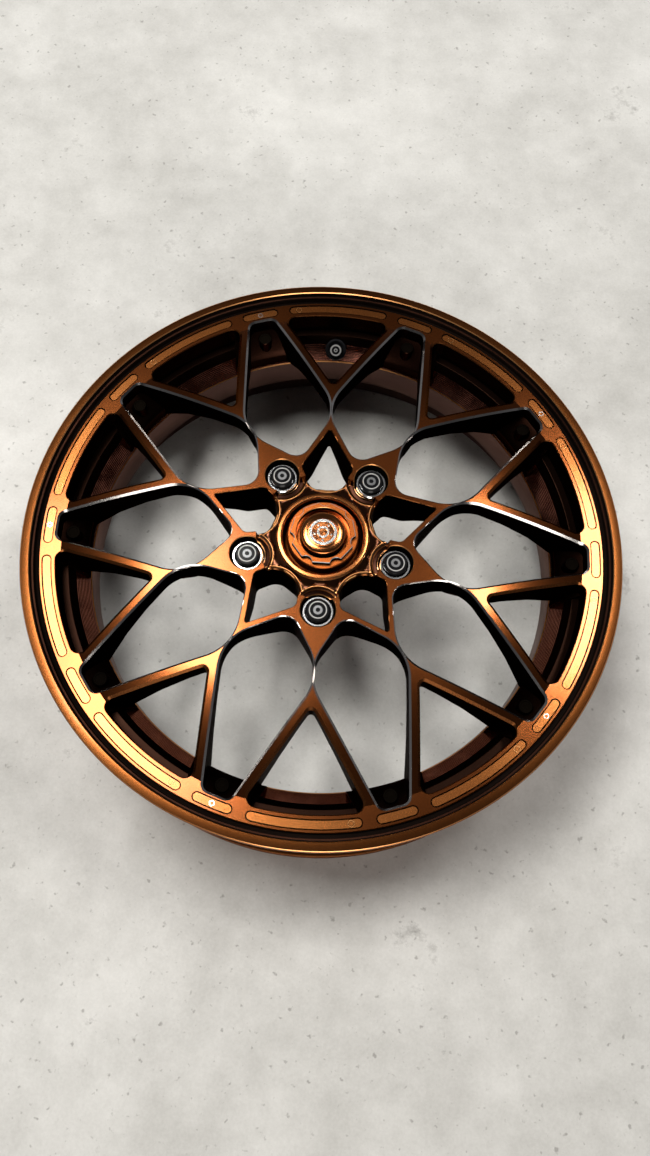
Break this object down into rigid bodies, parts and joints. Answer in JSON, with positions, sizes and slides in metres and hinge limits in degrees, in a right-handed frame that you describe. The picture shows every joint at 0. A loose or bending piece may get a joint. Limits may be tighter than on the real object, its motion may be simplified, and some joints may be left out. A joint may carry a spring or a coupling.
{
  "type": "wheel rim",
  "caption": "Two-piece forged racing wheel rim with a bronze-tinted lace of split Y spokes, a pocketed face ring, recessed lug bolts, a domed centre cap and a capped tyre valve.",
  "frame": {"origin": "on the wheel axis at the plane of the hub mounting face", "axes": "+Z out of the front face along the wheel axis, one lug bolt at -Y, the tyre valve at +Y"},
  "size_m": [0.4959, 0.496, 0.168],
  "materials": {
    "bronze_face": "brushed, tinted bronze",
    "bronze_barrel": "turned, tinted bronze",
    "bronze_polished": "polished, tinted bronze",
    "bolt_steel": "plated",
    "seal_rubber": "matte",
    "chrome_seat": "polished",
    "black_steel": "gloss black lacquer",
    "badge_silver": "satin silver",
    "spring_steel": "bright",
    "stem_aluminium": "satin",
    "gloss_black": "gloss black anodised",
    "core_brass": "bright"
  },
  "bodies": {
    "wheel": {"forged_centre": "bronze_face", "forged_rim": "bronze_barrel", "joint_bolts": "bolt_steel", "joint_seals": "seal_rubber", "lug_seats": "chrome_seat", "valve_stem": "stem_aluminium", "valve_seal": "seal_rubber", "valve_washer": "stem_aluminium", "valve_collar": "gloss_black", "valve_core": "core_brass"},
    "bolt_1": {"lug_bolt_1": "black_steel", "lug_disc_1": "badge_silver"},
    "bolt_2": {"lug_bolt_2": "black_steel", "lug_disc_2": "badge_silver"},
    "bolt_3": {"lug_bolt_3": "black_steel", "lug_disc_3": "badge_silver"},
    "bolt_4": {"lug_bolt_4": "black_steel", "lug_disc_4": "badge_silver"},
    "bolt_5": {"lug_bolt_5": "black_steel", "lug_disc_5": "badge_silver"},
    "centre_cap": {"cap_body": "bronze_face", "cap_lobed_ring": "bronze_face", "cap_dome": "bronze_polished", "cap_badge": "badge_silver", "cap_spring_ring": "spring_steel", "cap_o_ring": "seal_rubber"},
    "dust_cap": {"valve_cap": "gloss_black", "valve_cap_seal": "seal_rubber", "valve_cap_badge": "badge_silver"},
    "core_pin": {"valve_core_pin": "spring_steel"}
  },
  "joints": [
    {"name": "lug_bolt_1_turn", "type": "hinge", "parent": "wheel", "child": "bolt_1", "pos_m": [0, -0.0635, 0.03], "axis": [0, 0, 1], "continuous": true},
    {"name": "lug_bolt_2_turn", "type": "hinge", "parent": "wheel", "child": "bolt_2", "pos_m": [0.06039, -0.01962, 0.03], "axis": [0, 0, 1], "continuous": true},
    {"name": "lug_bolt_3_turn", "type": "hinge", "parent": "wheel", "child": "bolt_3", "pos_m": [0.03732, 0.05137, 0.03], "axis": [0, 0, 1], "continuous": true},
    {"name": "lug_bolt_4_turn", "type": "hinge", "parent": "wheel", "child": "bolt_4", "pos_m": [-0.03732, 0.05137, 0.03], "axis": [0, 0, 1], "continuous": true},
    {"name": "lug_bolt_5_turn", "type": "hinge", "parent": "wheel", "child": "bolt_5", "pos_m": [-0.06039, -0.01962, 0.03], "axis": [0, 0, 1], "continuous": true},
    {"name": "centre_cap_lift", "type": "slide", "parent": "wheel", "child": "centre_cap", "axis": [0, 0, 1], "range_m": [0, 0.035]},
    {"name": "valve_cap_lift", "type": "slide", "parent": "wheel", "child": "dust_cap", "axis": [0, -0.6, 0.8], "range_m": [0, 0.012]},
    {"name": "valve_pin_press", "type": "slide", "parent": "wheel", "child": "core_pin", "axis": [0, 0.6, -0.8], "range_m": [0, 0.0012], "stiffness_N_per_m": 2500, "springref_m": -0.0008}
  ]
}
